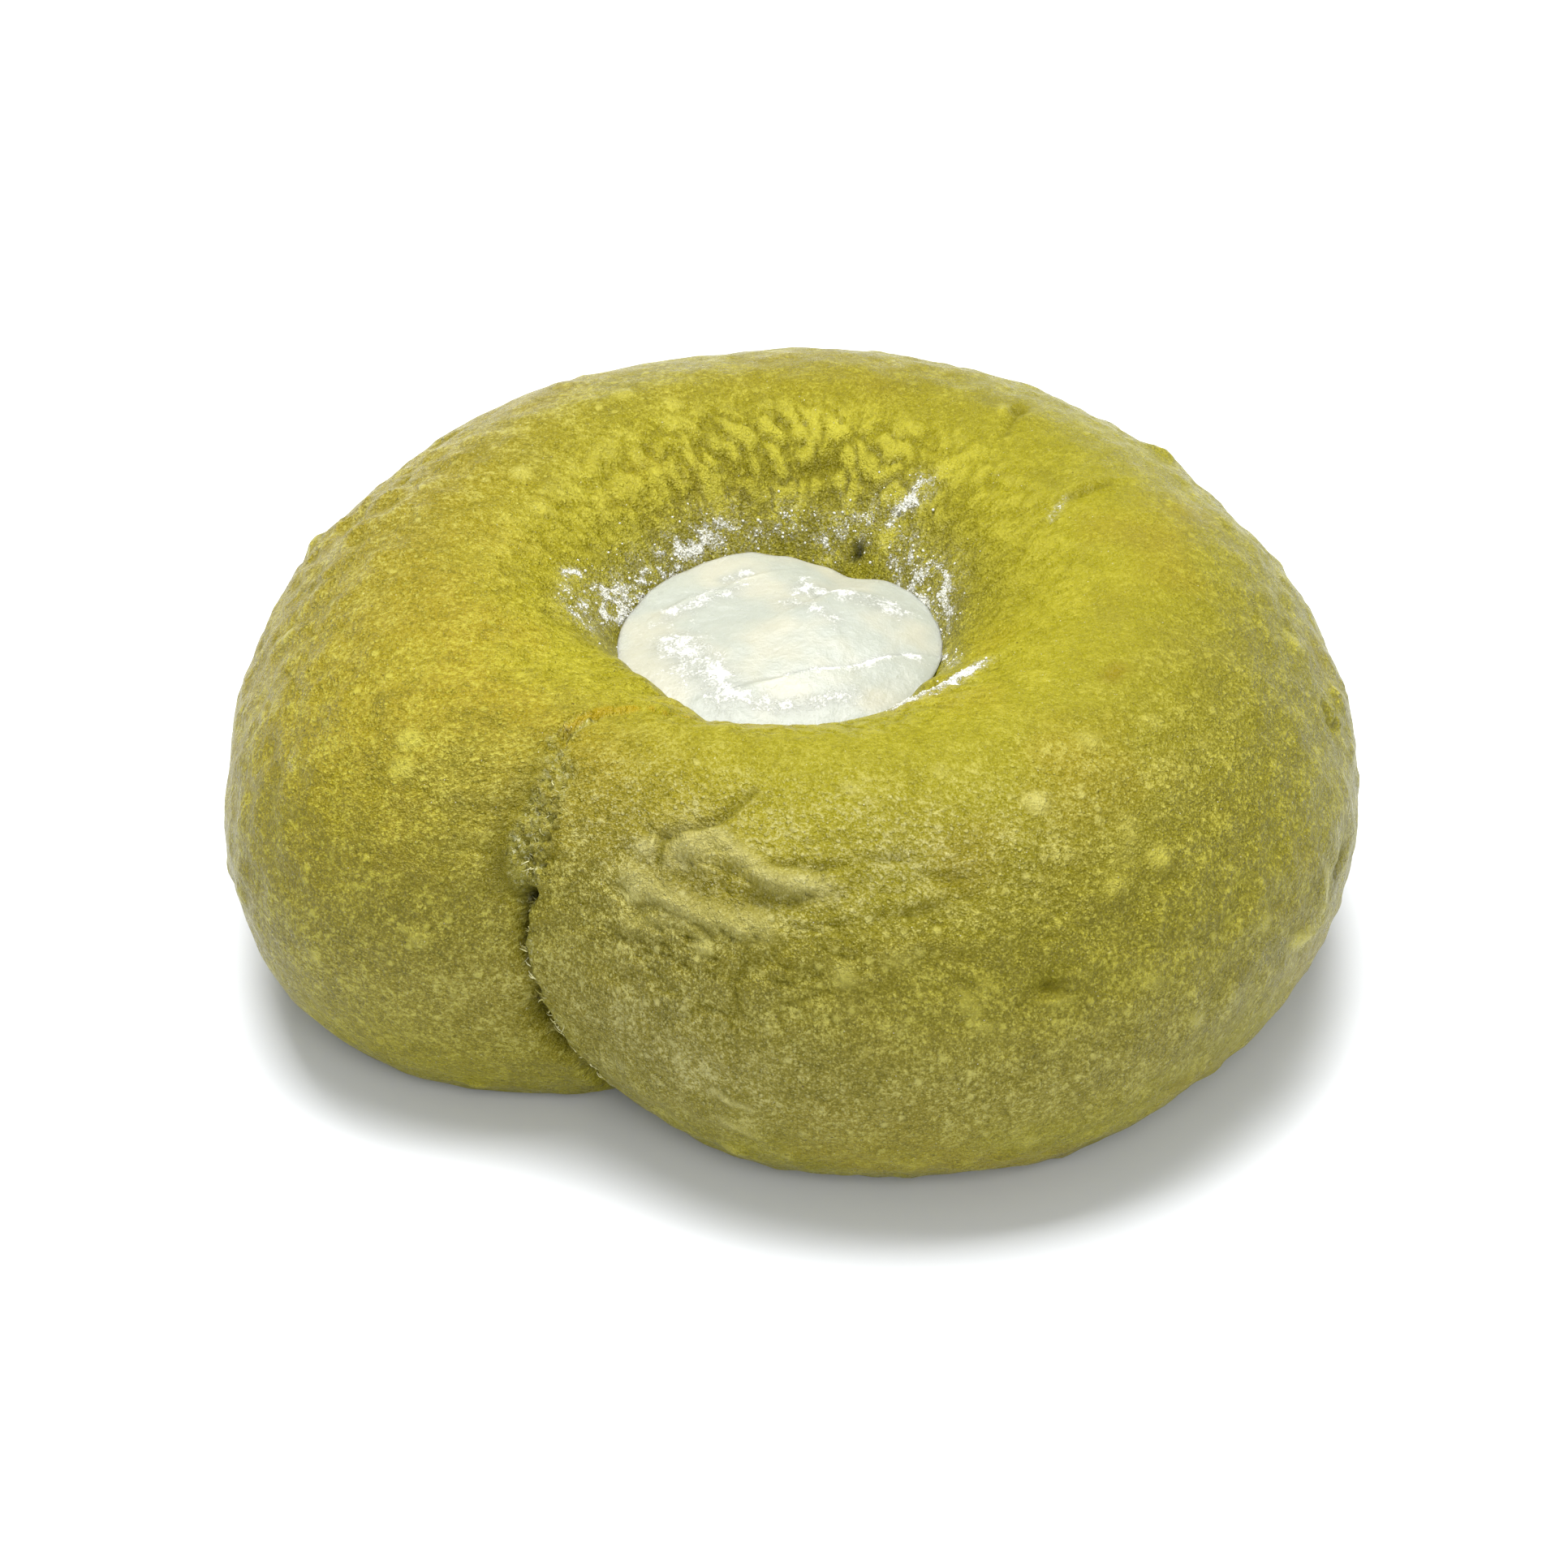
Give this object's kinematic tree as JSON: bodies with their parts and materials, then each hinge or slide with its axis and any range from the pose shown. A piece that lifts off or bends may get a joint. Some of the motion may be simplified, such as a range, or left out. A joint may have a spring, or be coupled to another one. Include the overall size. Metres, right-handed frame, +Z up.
{
  "type": "mochi-filled green tea bagel",
  "caption": "Round green bagel with a pressed seam across one side and a white rice-cake filling in its hole, standing on a flat baked base.",
  "frame": {"origin": "on the surface that the bagel stands on, at the middle of the bounding box's base; the hole's axis is within 2 mm of it", "axes": "+Z up, out of the crown; the seam faces the front left, between -X and -Y, at about 7 o'clock seen from above with 12 o'clock at +Y"},
  "size_m": [0.106, 0.1032, 0.04],
  "materials": {
    "green_crust": "satin",
    "white_mochi": "satin"
  },
  "bodies": {
    "root": {"bagel_ring": "green_crust", "mochi_filling": "white_mochi"}
  },
  "joints": []
}
